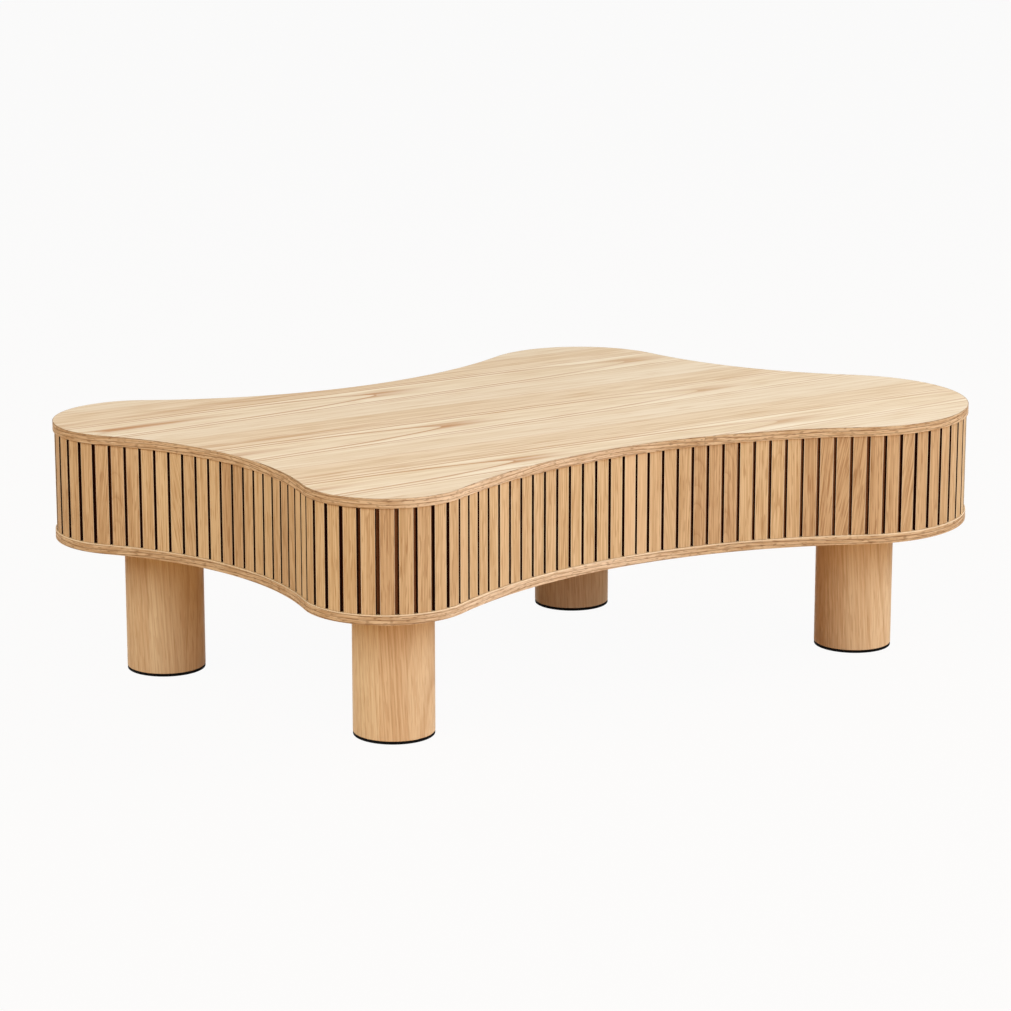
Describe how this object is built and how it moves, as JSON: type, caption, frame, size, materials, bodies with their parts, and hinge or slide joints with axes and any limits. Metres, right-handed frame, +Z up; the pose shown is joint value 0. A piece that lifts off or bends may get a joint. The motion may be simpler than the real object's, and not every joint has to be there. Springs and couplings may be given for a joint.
{
  "type": "coffee table",
  "caption": "Low coffee table with a four-lobed freeform top, a slatted hollow box under it and thick round wooden legs on black foot pads.",
  "frame": {"origin": "on the floor, under the middle of the table's bounding box", "axes": "+X along the table's length, +Y across it away from the front bay, +Z up"},
  "size_m": [1.2, 0.724, 0.36],
  "materials": {
    "face_veneer": "matt lacquered pale ash veneer",
    "edge_veneer": "matt lacquered edge veneer, grain along the edge",
    "board_core": "raw fibreboard",
    "plywood": "raw plywood",
    "slat_veneer": "matt lacquered slats, grain upright",
    "slat_backing": "thin flexible sheet stained dark brown",
    "leg_wood": "matt lacquered wood in upright staves",
    "foot_pad": "black moulded pad",
    "steel": "zinc plated",
    "dowel_wood": "raw beech"
  },
  "bodies": {
    "root": {"bottom_balance_veneer": "face_veneer", "bottom_board": "board_core", "bottom_edge_band": "edge_veneer", "bottom_face_veneer": "face_veneer", "bottom_screws": "steel", "cross_rib": "plywood", "foot_pad_front": "foot_pad", "foot_pad_left": "foot_pad", "foot_pad_rear": "foot_pad", "foot_pad_right": "foot_pad", "foot_screws": "steel", "leg_block_front": "plywood", "leg_block_left": "plywood", "leg_block_rear": "plywood", "leg_block_right": "plywood", "leg_bolts": "steel", "leg_front": "leg_wood", "leg_left": "leg_wood", "leg_rear": "leg_wood", "leg_right": "leg_wood", "leg_t_nuts": "steel", "long_rib": "plywood", "lower_rim": "plywood", "skirt_front": "plywood", "skirt_left": "plywood", "skirt_rear": "plywood", "skirt_right": "plywood", "slat_backing_left": "slat_backing", "slat_backing_right": "slat_backing", "slats_front_bay": "slat_veneer", "slats_front_lobe": "slat_veneer", "slats_left_bay": "slat_veneer", "slats_left_lobe": "slat_veneer", "slats_rear_bay": "slat_veneer", "slats_rear_lobe": "slat_veneer", "slats_right_bay": "slat_veneer", "slats_right_lobe": "slat_veneer", "splice_battens": "plywood", "top_balance_veneer": "face_veneer", "top_board": "board_core", "top_dowels": "dowel_wood", "top_edge_band": "edge_veneer", "top_face_veneer": "face_veneer", "upper_rim": "plywood"}
  },
  "joints": []
}
